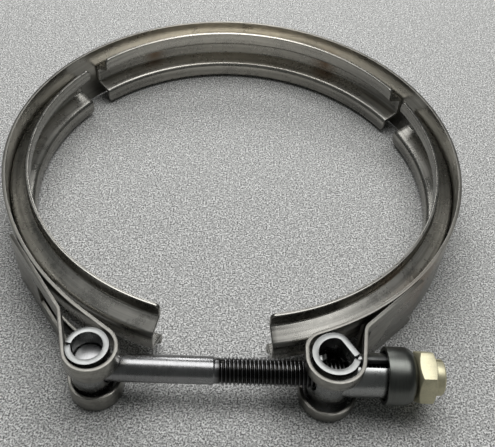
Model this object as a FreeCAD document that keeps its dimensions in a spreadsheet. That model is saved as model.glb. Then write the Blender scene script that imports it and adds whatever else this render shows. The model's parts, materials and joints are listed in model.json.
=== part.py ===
"""V band clamp: a slotted sheet strap with three V retainers, closed by a T-bolt.

Millimetres. The origin lies on the clamp's axis at mid-height, +Z up that axis, +X along
the T-bolt towards its nut, with the bolt on the -Y side.
"""
import FreeCAD
import Part
import Sketcher

import math
import os

from FreeCAD import Vector

# Each driving size: alias and value, in millimetres or degrees.
SIZES = (
    # Strap: one strip round the ring, with a loop folded back at each end.
    ("band_inner_radius", 61.3),
    ("band_sheet", 0.9),
    ("band_width", 17.2),
    ("weld_gap", 0.05),
    # The strap's ends spring away from the ring on arcs of a larger radius.
    ("left_ease_angle", 193.0),
    ("left_ease_gain", 12.3),
    ("right_ease_angle", 345.0),
    ("right_ease_gain", 2.6),
    # Tails: angle of the spot weld, length past it, lean of the loop's free side.
    ("left_weld_angle", 215.6),
    ("left_tail_length", 8.1),
    ("left_lean_angle", 14.0),
    ("left_bend_radius", 2.5),
    ("right_weld_angle", 313.0),
    ("right_tail_length", 4.6),
    ("right_lean_angle", 8.0),
    ("right_bend_radius", 3.0),
    ("right_corner_radius", 4.55),
    # Loops: room round each trunnion, and how far the loop's centre stands from it.
    ("left_loop_clearance", 0.55),
    ("left_loop_offset", 0.45),
    ("right_loop_clearance", 0.5),
    ("right_loop_offset", 0.5),
    # Loop slots: the bolt passes the left one, the sleeve the right one.
    ("left_slot_angle", 219.7),
    ("right_slot_angle", 301.0),
    ("slot_clearance", 0.1),
    # Retainers: pressed channels that grip the flanges.
    ("retainer_sheet", 1.0),
    ("retainer_bend_radius", 1.1),
    ("retainer_corner_radius", 1.2),
    ("retainer_depth", 5.9),
    ("lip_top", 8.05),
    ("leg_angle", 20.0),
    ("web_half_height", 2.6),
    ("left_retainer_angle", 143.9),
    ("left_retainer_span_angle", 109.3),
    ("rear_retainer_angle", 31.5),
    ("rear_retainer_span_angle", 105.5),
    ("right_retainer_angle", 279.2),
    ("right_retainer_span_angle", 106.6),
    # Trunnions: rolled tubes that stand in the loops.
    ("bolt_standoff", 4.0),
    ("trunnion_length", 18.2),
    ("left_trunnion_x", 30.7),
    ("left_trunnion_radius", 4.7),
    ("left_trunnion_sheet", 1.25),
    ("left_slit_angle", 172.0),
    ("left_arc_end_angle", 192.0),
    ("left_flat_length", 0.8),
    ("right_trunnion_x", 23.1),
    ("right_trunnion_radius", 5.3),
    ("right_trunnion_sheet", 1.35),
    ("right_slit_angle", -17.0),
    ("right_flat_bend_radius", 2.5),
    ("right_flat_turn_angle", 58.0),
    ("right_flat_length", 4.4),
    # T-bolt: cross head, plain shank, neck and threaded end.
    ("bolt_height", 0.35),
    ("bolt_radius", 3.175),
    ("head_clearance", 0.05),
    ("head_half_length", 4.5),
    ("head_chamfer", 0.6),
    ("shank_length", 27.2),
    ("neck_length", 1.3),
    ("neck_depth", 0.3),
    ("thread_length", 50.6),
    ("bolt_chamfer", 0.6),
    ("bolt_hole_clearance", 0.2),
    # Sleeve: rolled tube saddled on the right trunnion.
    ("sleeve_clearance", 0.625),
    ("sleeve_sheet", 1.2),
    ("sleeve_reach", 13.8),
    ("sleeve_seam", 2.0),
    ("saddle_gap", 0.05),
    # Cup washer over the sleeve's end.
    ("cup_clearance", 0.65),
    ("cup_sheet", 0.9),
    ("cup_side_length", 4.1),
    ("cup_shoulder_radius", 2.45),
    ("cup_overlap", 2.0),
    ("cup_bore_clearance", 0.225),
    # Lock nut: hexagon with a slotted collar.
    ("nut_seat_gap", 0.1),
    ("nut_across_flats", 11.11),
    ("nut_hex_length", 3.9),
    ("nut_chamfer", 0.45),
    ("nut_turn_angle", 5.5),
    ("nut_thread_clearance", 0.05),
    ("collar_radius", 4.1),
    ("collar_length", 3.0),
    ("collar_slot_width", 0.7),
    ("collar_slot_depth", 2.4),
    ("collar_slot_count", 4),
)

doc = FreeCAD.newDocument("VBandClamp")
sheet = doc.addObject("Spreadsheet::Sheet", "Sizes")


def fill_sheet():
    """Write every driving size into the sheet under its alias."""
    for row, (alias, value) in enumerate(SIZES, 1):
        sheet.set(f"A{row}", alias)
        sheet.set(f"B{row}", str(value))
        sheet.setAlias(f"B{row}", alias)
    doc.recompute()


def size(alias):
    """A driving size, read back from the sheet."""
    return float(sheet.get(alias))


def bolt_offset():
    """How far the bolt's centre line passes from the clamp's axis."""
    return size("band_inner_radius") + size("bolt_standoff")


def polar(angle, radius=1.0):
    """Point at a radius and an angle in degrees from +X."""
    turn = math.radians(angle)
    return Vector(radius * math.cos(turn), radius * math.sin(turn), 0)


class SheetRoute:
    """Centre line of a bent sheet: lines and arcs that follow on tangent to each other.

    Each side of the sheet is drawn along with it, half a thickness away.
    """

    def __init__(self, start, heading, thickness):
        self.point = start
        self.heading = heading
        self.half = thickness / 2
        self.left_side = []
        self.right_side = []

    def line(self, length):
        """Go straight on."""
        across = polar(self.heading + 90, self.half)
        end = self.point + polar(self.heading, length)
        self.left_side.append(Part.LineSegment(self.point + across, end + across))
        self.right_side.append(Part.LineSegment(self.point - across, end - across))
        self.point = end

    def arc(self, radius, turn):
        """Turn by an angle in degrees on the given radius, positive to the left."""
        way = math.copysign(1, turn)
        centre = self.point + polar(self.heading + 90 * way, radius)
        start = self.heading - 90 * way
        for side, offset in ((self.left_side, -self.half), (self.right_side, self.half)):
            reach = radius + offset * way
            places = [polar(start + turn * part, reach) + centre for part in (0, 0.5, 1)]
            side.append(Part.Arc(*places))
        self.point = centre + polar(start + turn, radius)
        self.heading += turn

    def fold(self, radius, turn, flats):
        """Turn as an arc does, in a few flats instead of a curve."""
        way = math.copysign(1, turn)
        centre = self.point + polar(self.heading + 90 * way, radius)
        start = self.heading - 90 * way
        for side, offset in ((self.left_side, -self.half), (self.right_side, self.half)):
            reach = radius + offset * way
            corners = [polar(start + turn * part / flats, reach) + centre for part in range(flats + 1)]
            side.extend(Part.LineSegment(*pair) for pair in zip(corners, corners[1:]))
        self.point = centre + polar(start + turn, radius)
        self.heading += turn

    def outline(self):
        """The closed outline: one side, an end, the other side back, and the other end."""
        there = self.left_side
        back = self.right_side
        end = Part.LineSegment(there[-1].EndPoint, back[-1].EndPoint)
        start = Part.LineSegment(back[0].StartPoint, there[0].StartPoint)
        return there + [end] + back[::-1] + [start]


def new_body(label):
    """A body with the given label, which names its file."""
    body = doc.addObject("PartDesign::Body", label)
    body.Label = label
    return body


def new_sketch(body, plane, name):
    """A sketch on one of the body's own origin planes."""
    sketch = body.newObject("Sketcher::SketchObject", f"{body.Name}_{name}")
    support = next(f for f in body.Origin.OriginFeatures if f.Role == plane)
    sketch.AttachmentSupport = [(support, "")]
    sketch.MapMode = "FlatFace"
    return sketch


def join_ends(sketch):
    """Tie every two curve ends that meet in one place."""
    ends = []
    for index, curve in enumerate(sketch.Geometry):
        if not isinstance(curve, Part.Circle):
            ends.append((index, 1, sketch.getPoint(index, 1)))
            ends.append((index, 2, sketch.getPoint(index, 2)))
    for number, (curve, end, place) in enumerate(ends):
        for other, other_end, other_place in ends[number + 1:]:
            if curve != other and place.distanceToPoint(other_place) < 1e-6:
                tie = Sketcher.Constraint("Coincident", curve, end, other, other_end)
                sketch.addConstraint(tie)


def draw(sketch, curves):
    """Add a closed chain of lines and arcs."""
    sketch.addGeometry(curves, False)
    join_ends(sketch)


def draw_polygon(sketch, points):
    """Add a closed polygon whose corners are held by their distances from the origin."""
    corners = [Vector(x, y, 0) for x, y in points]
    pairs = zip(corners, corners[1:] + corners[:1])
    draw(sketch, [Part.LineSegment(start, end) for start, end in pairs])


def draw_circle(sketch, radius, rise=None):
    """Add a circle whose radius, and height above the sketch's origin, follow expressions."""
    sketch.addGeometry(Part.Circle(Vector(0, 0.1, 0), Vector(0, 0, 1), 1.0), False)
    bound = sketch.addConstraint(Sketcher.Constraint("Radius", 0, 1.0))
    sketch.setExpression(f"Constraints[{bound}]", radius)
    if rise is None:
        sketch.addConstraint(Sketcher.Constraint("Coincident", 0, 3, -1, 1))
        return
    sketch.addConstraint(Sketcher.Constraint("PointOnObject", 0, 3, -2))
    bound = sketch.addConstraint(Sketcher.Constraint("DistanceY", -1, 1, 0, 3, 0.1))
    sketch.setExpression(f"Constraints[{bound}]", rise)


def add_feature(body, kind, name, profile, **bound):
    """Add a sketch-based feature and bind its sizes."""
    feature = body.newObject(f"PartDesign::{kind}", f"{body.Name}_{name}")
    feature.Profile = profile
    for prop, expression in bound.items():
        feature.setExpression(prop, expression)
    profile.Visibility = False
    return feature


def place(body, x, height="0"):
    """Bind where the body's own origin stands, on the upright plane of the bolt."""
    body.setExpression("Placement.Base.x", x)
    body.setExpression("Placement.Base.y", "-(Sizes.band_inner_radius + Sizes.bolt_standoff)")
    body.setExpression("Placement.Base.z", height)


def revolve(body, name, sketch, axis, angle="360"):
    """Turn a profile about one of its sketch's axes."""
    turned = add_feature(body, "Revolution", name, sketch, Angle=angle)
    turned.ReferenceAxis = (sketch, [axis])
    return turned


def pad(body, name, sketch, length, symmetric=False):
    """Extrude a profile, to one side or to both."""
    solid = add_feature(body, "Pad", name, sketch, Length=length)
    solid.SideType = "Symmetric" if symmetric else "One side"
    return solid


def pocket(body, name, sketch, length, symmetric=False, reverse=False):
    """Cut a profile out of the body, and make sure that it took something away."""
    doc.recompute()
    before = body.Shape.Volume
    cut = add_feature(body, "Pocket", name, sketch, Length=length)
    cut.SideType = "Symmetric" if symmetric else "One side"
    cut.Reversed = reverse
    doc.recompute()
    if not body.Shape.Volume < before - 1e-3:
        raise RuntimeError(f"{cut.Name} cuts nothing")
    return cut


def bend_corner(start, heading, centre, angle, distance):
    """How far along a line it meets the tangent at an angle and distance from a centre."""
    normal = polar(angle)
    return (distance - (start - centre).dot(normal)) / polar(heading).dot(normal)


def strap_route():
    """The strap's centre line, from the right tail's end to the left tail's end."""
    sheet_half = size("band_sheet") / 2
    ring = size("band_inner_radius") + sheet_half
    lap = size("band_sheet") + size("weld_gap")

    # Right side, worked out from the ring outwards.
    ease = size("right_ease_gain")
    ease_angle = size("right_ease_angle")
    ease_centre = polar(ease_angle + 180, ease)
    ease_radius = ring + ease
    loop_radius = size("right_trunnion_radius") + size("right_loop_clearance") + sheet_half
    loop_centre = Vector(size("right_trunnion_x"), -bolt_offset() - size("right_loop_offset"), 0)
    corner = size("right_corner_radius")
    corner_x = loop_centre.x - loop_radius + corner
    drop = math.sqrt((ease_radius + corner) ** 2 - (corner_x - ease_centre.x) ** 2)
    corner_centre = Vector(corner_x, ease_centre.y - drop, 0)
    up_angle = math.degrees(math.atan2(drop, ease_centre.x - corner_x))

    weld_angle = size("right_weld_angle")
    lean = size("right_lean_angle")
    side_start = loop_centre + polar(-lean, loop_radius)
    side_heading = 90 - lean
    side = bend_corner(side_start, side_heading, ease_centre, weld_angle, ease_radius + lap)
    bend_turn = side_heading - (weld_angle + 90 - 360)
    bend = size("right_bend_radius")
    bend_reach = bend * math.tan(math.radians(bend_turn / 2))
    tail_end = ease_centre + polar(weld_angle, ease_radius + lap)
    tail_end += polar(weld_angle + 90, size("right_tail_length"))
    corner_point = side_start + polar(side_heading, side)

    route = SheetRoute(tail_end, weld_angle - 90, size("band_sheet"))
    route.line((tail_end - corner_point).Length - bend_reach)
    route.arc(bend, bend_turn)
    route.line(side - bend_reach)
    route.arc(loop_radius, -(180 - lean))
    route.line(corner_centre.y - loop_centre.y)
    route.arc(corner, up_angle - 180)
    route.arc(ease_radius, ease_angle - up_angle - 180)

    # The ring, then the left side with its crossing tangent.
    left_ease_angle = size("left_ease_angle")
    route.arc(ring, left_ease_angle + 360 - ease_angle)
    ease = size("left_ease_gain")
    ease_centre = polar(left_ease_angle + 180, ease)
    ease_radius = ring + ease
    loop_radius = size("left_trunnion_radius") + size("left_loop_clearance") + sheet_half
    loop_centre = Vector(size("left_loop_offset") - size("left_trunnion_x"), -bolt_offset(), 0)
    between = loop_centre - ease_centre
    lead = math.degrees(math.acos((ease_radius + loop_radius) / between.Length))
    leave = math.degrees(math.atan2(between.y, between.x)) + 360 - lead
    route.arc(ease_radius, leave - left_ease_angle)
    route.line(between.Length * math.sin(math.radians(lead)))

    weld_angle = size("left_weld_angle")
    side_heading = 90 + size("left_lean_angle")
    route.arc(loop_radius, side_heading - leave - 90)
    side = bend_corner(route.point, side_heading, ease_centre, weld_angle, ease_radius + lap)
    corner_point = route.point + polar(side_heading, side)
    tail_end = ease_centre + polar(weld_angle, ease_radius + lap)
    tail_end += polar(weld_angle - 90, size("left_tail_length"))
    bend = size("left_bend_radius")
    bend_turn = weld_angle - 90 - side_heading
    bend_reach = bend * math.tan(math.radians(bend_turn / 2))
    route.line(side - bend_reach)
    route.arc(bend, bend_turn)
    route.line((tail_end - corner_point).Length - bend_reach)
    return route


def cut_loop_slot(body, side, loop_x, loop_radius, angle):
    """Cut the slot through a loop, from one angle on the ring right round the loop."""
    ring = size("band_inner_radius")
    reach = size(f"{side}_ease_gain")
    centre = polar(size(f"{side}_ease_angle") + 180, reach)
    inner = centre + polar(angle, ring + reach - size("weld_gap"))
    outer = centre + polar(angle, ring + reach + 4 * size("band_sheet"))
    inside = loop_x - math.copysign(2 * loop_radius, loop_x)
    front = -bolt_offset() - 2 * loop_radius
    back = -bolt_offset() + loop_radius + size("band_sheet")
    sketch = new_sketch(body, "XY_Plane", f"{side}_slot_outline")
    draw_polygon(sketch, [
        (inner.x, inner.y), (outer.x, outer.y), (outer.x, front), (inside, front), (inside, back),
    ])
    return sketch


def make_outer_band():
    """One strip of sheet round the ring, folded into a slotted loop at each end."""
    body = new_body("outer_band")
    outline = new_sketch(body, "XY_Plane", "outline")
    draw(outline, strap_route().outline())
    pad(body, "strap", outline, "Sizes.band_width", symmetric=True)

    left = cut_loop_slot(body, "left", -size("left_trunnion_x"),
                         size("left_trunnion_radius"), size("left_slot_angle"))
    room = "Sizes.bolt_height + Sizes.slot_clearance"
    pocket(body, "left_slot", left, f"2 * (Sizes.bolt_radius + {room})", symmetric=True)
    right = cut_loop_slot(body, "right", size("right_trunnion_x"),
                          size("right_trunnion_radius"), size("right_slot_angle"))
    sleeve = "Sizes.bolt_radius + Sizes.sleeve_clearance + Sizes.sleeve_sheet"
    pocket(body, "right_slot", right, f"2 * ({sleeve} + {room})", symmetric=True)
    return body


def retainer_route():
    """The channel's centre line, from the upper lip's edge to the lower one's."""
    thickness = size("retainer_sheet")
    lip = size("band_inner_radius") - size("retainer_depth") + thickness / 2
    web = size("band_inner_radius") - size("weld_gap") - thickness / 2
    slope = size("leg_angle")
    bend = size("retainer_bend_radius")
    turn = 90 - slope
    bend_reach = bend * math.tan(math.radians(turn / 2))
    leg = (web - lip) / math.cos(math.radians(slope))
    lip_foot = size("web_half_height") + (web - lip) * math.tan(math.radians(slope))

    route = SheetRoute(Vector(lip, size("lip_top"), 0), -90, thickness)
    route.line(size("lip_top") - lip_foot - bend_reach)
    route.fold(bend, turn, 1)
    route.line(leg - 2 * bend_reach)
    route.fold(bend, -turn, 1)
    route.line(2 * (size("web_half_height") - bend_reach))
    route.fold(bend, -turn, 1)
    route.line(leg - 2 * bend_reach)
    route.fold(bend, turn, 1)
    route.line(size("lip_top") - lip_foot - bend_reach)
    return route


def lip_corners(shape):
    """Names of the short edges through the sheet at the lips' free corners."""
    names = []
    for number, edge in enumerate(shape.Edges, 1):
        straight = isinstance(edge.Curve, Part.Line)
        height = abs(edge.CenterOfMass.z)
        level = abs(edge.tangentAt(edge.FirstParameter).z) < 0.5
        if straight and level and abs(height - size("lip_top")) < 1e-3:
            names.append(f"Edge{number}")
    return names


def make_retainer(side):
    """A pressed channel, bent round part of the ring and welded inside the strap."""
    body = new_body(f"{side}_retainer")
    section = new_sketch(body, "XZ_Plane", "section")
    draw(section, retainer_route().outline())
    ring = revolve(body, "bend", section, "V_Axis", f"Sizes.{side}_retainer_span_angle")
    doc.recompute()
    corners = body.newObject("PartDesign::Fillet", f"{body.Name}_corners")
    corners.Base = (ring, lip_corners(ring.Shape))
    corners.setExpression("Radius", "Sizes.retainer_corner_radius")
    body.Placement.Rotation = FreeCAD.Rotation(Vector(0, 0, 1), 1)
    body.setExpression("Placement.Rotation.Angle", f"Sizes.{side}_retainer_angle")
    return body


def make_left_trunnion():
    """Rolled tube that carries the T-bolt's head, slit on the far side from the shank."""
    body = new_body("left_trunnion")
    radius = size("left_trunnion_radius")
    thickness = size("left_trunnion_sheet")
    middle = radius - thickness / 2
    start = size("left_slit_angle")
    route = SheetRoute(polar(start, middle), start - 90, thickness)
    route.arc(middle, size("left_arc_end_angle") - 360 - start)
    route.line(size("left_flat_length"))
    section = new_sketch(body, "XY_Plane", "section")
    draw(section, route.outline())
    pad(body, "tube", section, "Sizes.trunnion_length", symmetric=True)
    hole = new_sketch(body, "YZ_Plane", "hole_outline")
    draw_circle(hole, "Sizes.bolt_radius + Sizes.bolt_hole_clearance", "Sizes.bolt_height")
    pocket(body, "hole", hole, "2 * Sizes.left_trunnion_radius", reverse=True)
    place(body, "-Sizes.left_trunnion_x")
    return body


def make_t_bolt():
    """T-bolt: an upright cross head, a plain shank, a neck and the threaded end."""
    body = new_body("t_bolt")
    radius = size("bolt_radius")
    neck = size("shank_length")
    thread = neck + size("neck_length")
    end = thread + size("thread_length")
    chamfer = size("bolt_chamfer")
    groove = radius - size("neck_depth")
    step = size("neck_depth")
    shank = new_sketch(body, "XZ_Plane", "shank_profile")
    draw_polygon(shank, [
        (0, 0), (0, radius), (neck, radius), (neck + step, groove), (thread, groove),
        (thread + step, radius), (end - chamfer, radius), (end, radius - chamfer), (end, 0),
    ])
    revolve(body, "shank", shank, "H_Axis")

    head_radius = size("left_trunnion_radius") - size("left_trunnion_sheet") - size("head_clearance")
    flat = head_radius - size("head_chamfer")
    top = size("head_half_length")
    shoulder = top - size("head_chamfer")
    head = new_sketch(body, "XZ_Plane", "head_profile")
    draw_polygon(head, [
        (0, -top), (0, top), (flat, top), (head_radius, shoulder), (head_radius, -shoulder), (flat, -top),
    ])
    revolve(body, "head", head, "V_Axis")
    place(body, "-Sizes.left_trunnion_x", "Sizes.bolt_height")
    return body


def make_right_trunnion():
    """Rolled tube that the bolt passes through, its free end left flat on the sleeve's side."""
    body = new_body("right_trunnion")
    thickness = size("right_trunnion_sheet")
    middle = size("right_trunnion_radius") - thickness / 2
    start = size("right_slit_angle")
    route = SheetRoute(polar(start, middle), start - 90, thickness)
    route.arc(middle, -(start + 270))
    route.arc(size("right_flat_bend_radius"), -size("right_flat_turn_angle"))
    route.line(size("right_flat_length"))
    section = new_sketch(body, "XY_Plane", "section")
    draw(section, route.outline())
    pad(body, "tube", section, "Sizes.trunnion_length", symmetric=True)
    hole = new_sketch(body, "YZ_Plane", "hole_outline")
    draw_circle(hole, "Sizes.bolt_radius + Sizes.sleeve_clearance", "Sizes.bolt_height")
    pocket(body, "hole", hole, "4 * Sizes.right_trunnion_radius", symmetric=True)
    place(body, "Sizes.right_trunnion_x")
    return body


def make_bolt_sleeve():
    """Rolled tube round the bolt with an open seam on top, saddled on the trunnion."""
    body = new_body("bolt_sleeve")
    thickness = size("sleeve_sheet")
    outer = size("bolt_radius") + size("sleeve_clearance") + thickness
    half_seam = math.degrees(math.asin(size("sleeve_seam") / 2 / outer))
    centre_line = outer - thickness / 2
    start = 90 - half_seam
    route = SheetRoute(polar(start, centre_line), start - 90, thickness)
    route.arc(centre_line, -(360 - 2 * half_seam))
    section = new_sketch(body, "YZ_Plane", "section")
    draw(section, route.outline())
    pad(body, "tube", section, "Sizes.sleeve_reach")
    saddle = new_sketch(body, "XY_Plane", "saddle_outline")
    draw_circle(saddle, "Sizes.right_trunnion_radius + Sizes.saddle_gap")
    pocket(body, "saddle", saddle, "4 * Sizes.right_trunnion_radius", symmetric=True)
    place(body, "Sizes.right_trunnion_x", "Sizes.bolt_height")
    return body


def make_cup_washer():
    """Drawn cup, open towards the sleeve, with a rounded shoulder and a bore for the bolt."""
    body = new_body("cup_washer")
    thickness = size("cup_sheet")
    sleeve_outer = size("bolt_radius") + size("sleeve_clearance") + size("sleeve_sheet")
    side = sleeve_outer + size("cup_clearance") + thickness / 2
    bore = size("bolt_radius") + size("cup_bore_clearance")
    shoulder = size("cup_shoulder_radius")
    route = SheetRoute(Vector(0, side, 0), 0, thickness)
    route.line(size("cup_side_length"))
    route.fold(shoulder, -90, 2)
    route.line(side - shoulder - bore)
    profile = new_sketch(body, "XZ_Plane", "profile")
    draw(profile, route.outline())
    revolve(body, "cup", profile, "H_Axis")
    place(body, "Sizes.right_trunnion_x + Sizes.sleeve_reach - Sizes.cup_overlap", "Sizes.bolt_height")
    return body


def draw_hexagon(sketch, across_flats):
    """Add a regular hexagon with a corner on each side of the sketch's first axis."""
    corner = across_flats / 2 / math.cos(math.radians(30))
    points = [polar(60 * number, corner) for number in range(6)]
    draw_polygon(sketch, [(point.x, point.y) for point in points])


def make_lock_nut():
    """Hexagon lock nut with a slotted collar, seated on the cup's end."""
    body = new_body("lock_nut")
    hexagon = new_sketch(body, "YZ_Plane", "hexagon")
    draw_hexagon(hexagon, size("nut_across_flats"))
    pad(body, "hex", hexagon, "Sizes.nut_hex_length")
    doc.recompute()

    corner = size("nut_across_flats") / 2 / math.cos(math.radians(30))
    depth = corner - size("nut_across_flats") / 2 + size("nut_chamfer")
    rise = depth * math.tan(math.radians(30))
    length = size("nut_hex_length")
    bevel = new_sketch(body, "XZ_Plane", "bevel_profile")
    draw_polygon(bevel, [(0, corner - depth), (0, corner + rise), (rise, corner + rise), (rise, corner)])
    add_groove(body, "near_bevel", bevel)
    bevel = new_sketch(body, "XZ_Plane", "far_bevel_profile")
    draw_polygon(bevel, [(length, corner - depth), (length - rise, corner),
                         (length - rise, corner + rise), (length, corner + rise)])
    add_groove(body, "far_bevel", bevel)

    collar = new_sketch(body, "YZ_Plane", "collar_outline")
    draw_circle(collar, "Sizes.collar_radius")
    pad(body, "collar", collar, "Sizes.nut_hex_length + Sizes.collar_length")
    bore = new_sketch(body, "YZ_Plane", "bore_outline")
    draw_circle(bore, "Sizes.bolt_radius + Sizes.nut_thread_clearance")
    pocket(body, "bore", bore, "4 * (Sizes.nut_hex_length + Sizes.collar_length)", symmetric=True)
    cut_collar_slots(body)
    body.Placement.Rotation = FreeCAD.Rotation(Vector(1, 0, 0), 1)
    body.setExpression("Placement.Rotation.Angle", "Sizes.nut_turn_angle")
    cup_end = ("Sizes.right_trunnion_x + Sizes.sleeve_reach - Sizes.cup_overlap"
               " + Sizes.cup_side_length + Sizes.cup_shoulder_radius + Sizes.cup_sheet / 2")
    place(body, f"{cup_end} + Sizes.nut_seat_gap", "Sizes.bolt_height")
    return body


def add_groove(body, name, sketch):
    """Turn a profile away round the sketch's first axis, and make sure that it cuts."""
    doc.recompute()
    before = body.Shape.Volume
    groove = add_feature(body, "Groove", name, sketch, Angle="360")
    groove.ReferenceAxis = (sketch, ["H_Axis"])
    doc.recompute()
    if not body.Shape.Volume < before - 1e-3:
        raise RuntimeError(f"{groove.Name} cuts nothing")
    return groove


def cut_collar_slots(body):
    """One slot through the collar's wall, repeated round it."""
    width = size("collar_slot_width")
    end = size("nut_hex_length") + size("collar_length")
    start = end - size("collar_slot_depth")
    slot = new_sketch(body, "XY_Plane", "slot_outline")
    draw_polygon(slot, [
        (start, -width / 2), (start, width / 2), (end + width, width / 2), (end + width, -width / 2),
    ])
    cut = pocket(body, "slot", slot, "2 * Sizes.collar_radius", reverse=True)
    ring = body.newObject("PartDesign::PolarPattern", "lock_nut_slots")
    ring.Originals = [cut]
    ring.Axis = (slot, ["H_Axis"])
    ring.Angle = 360
    ring.setExpression("Occurrences", "Sizes.collar_slot_count")
    body.Tip = ring


def check(body):
    """Raise if an object of the document failed or a body has no single valid solid."""
    for part in doc.Objects:
        if "Invalid" in part.State or "Error" in part.State:
            raise RuntimeError(f"{part.Name} failed: {part.State}")
    if body.Shape.isNull() or not body.Shape.isValid() or len(body.Shape.Solids) != 1:
        raise RuntimeError(f"{body.Label} is not one valid solid")


def main():
    """Build every piece, check it and write its STEP file."""
    fill_sheet()
    pieces = [
        make_outer_band(),
        make_retainer("left"),
        make_retainer("rear"),
        make_retainer("right"),
        make_left_trunnion(),
        make_t_bolt(),
        make_right_trunnion(),
        make_bolt_sleeve(),
        make_cup_washer(),
        make_lock_nut(),
    ]
    doc.recompute()
    os.makedirs("parts", exist_ok=True)
    for body in pieces:
        check(body)
        box = body.Shape.BoundBox
        print(f"{body.Label}: {body.Shape.Volume:.1f} mm3, x {box.XMin:.2f}..{box.XMax:.2f}, "
              f"y {box.YMin:.2f}..{box.YMax:.2f}, z {box.ZMin:.2f}..{box.ZMax:.2f}")
    for body in pieces:
        body.Shape.exportStep(f"parts/{body.Label}.step")


main()
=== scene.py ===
"""V band clamp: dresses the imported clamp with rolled, pressed and turned steel pieces.

Metres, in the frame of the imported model: the origin lies on the clamp's axis, +Z up that
axis, +X along the T-bolt towards its nut, with the bolt on the -Y side.
"""

import json
import math

import bpy
from mathutils import Matrix, Vector


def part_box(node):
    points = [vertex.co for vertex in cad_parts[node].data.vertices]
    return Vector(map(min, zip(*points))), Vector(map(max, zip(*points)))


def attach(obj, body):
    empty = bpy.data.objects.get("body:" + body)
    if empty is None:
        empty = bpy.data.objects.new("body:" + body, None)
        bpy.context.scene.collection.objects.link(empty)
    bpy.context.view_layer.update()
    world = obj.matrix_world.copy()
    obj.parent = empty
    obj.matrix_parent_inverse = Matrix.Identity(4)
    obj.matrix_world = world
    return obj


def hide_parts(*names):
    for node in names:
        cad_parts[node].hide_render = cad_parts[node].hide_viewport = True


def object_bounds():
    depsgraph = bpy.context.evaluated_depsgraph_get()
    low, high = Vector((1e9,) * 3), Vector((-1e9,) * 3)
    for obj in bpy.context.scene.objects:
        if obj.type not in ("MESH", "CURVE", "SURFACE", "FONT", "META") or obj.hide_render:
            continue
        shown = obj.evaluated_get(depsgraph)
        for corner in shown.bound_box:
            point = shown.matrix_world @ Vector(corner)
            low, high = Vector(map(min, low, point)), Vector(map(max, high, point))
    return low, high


bl_info = {
    "name": "V Band Clamp",
    "version": (1, 0, 0),
    "blender": (4, 5, 0),
    "location": "View3D > Sidebar > V Band Clamp",
    "description": "Models a V band clamp with its T-bolt, trunnions, sleeve, cup washer and lock nut",
    "category": "Add Mesh",
}

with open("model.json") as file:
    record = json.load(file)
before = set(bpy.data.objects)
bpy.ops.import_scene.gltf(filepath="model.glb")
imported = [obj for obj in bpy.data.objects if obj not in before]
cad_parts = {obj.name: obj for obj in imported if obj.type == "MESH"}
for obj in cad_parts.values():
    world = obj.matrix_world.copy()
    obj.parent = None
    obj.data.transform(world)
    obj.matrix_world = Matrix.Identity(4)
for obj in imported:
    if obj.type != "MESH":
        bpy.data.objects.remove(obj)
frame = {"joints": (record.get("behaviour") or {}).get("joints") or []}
CAD_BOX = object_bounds()

MM = 0.001
UP = Vector((0, 0, 1))
ALONG = Vector((1, 0, 0))
ACROSS = Vector((0, 1, 0))
QUARTER = math.pi / 2
FULL = 2 * math.pi

# Vertices this near to each other are welded, and this near to a place are taken to be there.
WELD = 0.002 * MM
NEAR = 0.01 * MM
# How deep a shape is sunk into the one that it is joined to or cut by.
SINK = 0.02 * MM

# How far one facet turns: round the ring, a channel, a loop, a flat's bend, any other bend,
# a pressed shoulder and the cross head's rounding.
RING_STEP = math.radians(2)
CHANNEL_STEP = math.radians(1.5)
LOOP_STEP = math.radians(5)
FLAT_STEP = math.radians(6)
BEND_STEP = math.radians(8)
SHOULDER_STEP = math.radians(9)
HEAD_STEP = math.radians(15)
# Facets in a full turn: of the thread, of a turned shape, and of the cup and the saddle.
THREAD_FACETS = 28
TURNED_FACETS = 72
FINE_FACETS = 96

# Edges that turn by more than this are shaded crisp.
CRISP = math.radians(32)
# How far the edges are rounded.
STRAP_EDGE = 0.16 * MM
CHANNEL_EDGE = 0.28 * MM
TRUNNION_EDGE = 0.12 * MM
TAB_EDGE = 0.15 * MM
BOLT_EDGE = 0.15 * MM
SLEEVE_EDGE = 0.28 * MM
CUP_EDGE = 0.2 * MM
NUT_EDGE = 0.12 * MM
COLLAR_EDGE = 0.08 * MM

# Parts of the thread's pitch that a flank and the crest take, the gap before the first
# ridge, the least length left free, and how much thinner than the crests the shank is.
FLANK = 0.36
CREST = 0.13
THREAD_GAP = 0.1 * MM
THREAD_SPARE = 0.3 * MM
SHANK_RELIEF = 0.01 * MM
# How deep the collar starts in the hexagon.
COLLAR_ROOT = 0.5 * MM

# The tab lanced out of the right trunnion: where it stands on the wall, how far below the
# top and how deep in the wall it starts, how it rises, runs, bends and ends, and its sheet.
TAB_DIRECTION = math.radians(188)
TAB_BELOW = 1.5 * MM
TAB_ROOT = 0.2 * MM
TAB_RISE = math.radians(10)
TAB_RUN = 0.9 * MM
TAB_BEND = 1.0 * MM
TAB_TURN = math.radians(35)
TAB_END = 0.7 * MM
TAB_WIDTH = 1.4 * MM
TAB_SHEET = 0.6 * MM


def node_box(node, axis):
    """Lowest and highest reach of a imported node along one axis."""
    low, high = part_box(node)
    return low[axis], high[axis]


def joint_place(name):
    """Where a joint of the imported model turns."""
    return Vector(next(joint["pos_m"] for joint in frame["joints"] if joint["name"] == name))


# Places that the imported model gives.
LEFT_PIN = joint_place("bolt_swing")
RIGHT_PIN = joint_place("saddle_swing")
BOLT_HEIGHT = joint_place("nut_turn").z
BOLT_LINE = Vector((0, LEFT_PIN.y, BOLT_HEIGHT))


def length(name, description, default):
    """A length property in metres, whose default is given in millimetres."""
    return bpy.props.FloatProperty(name=name, description=description, default=default * MM,
                                   subtype="DISTANCE", unit="LENGTH", precision=5)


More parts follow.
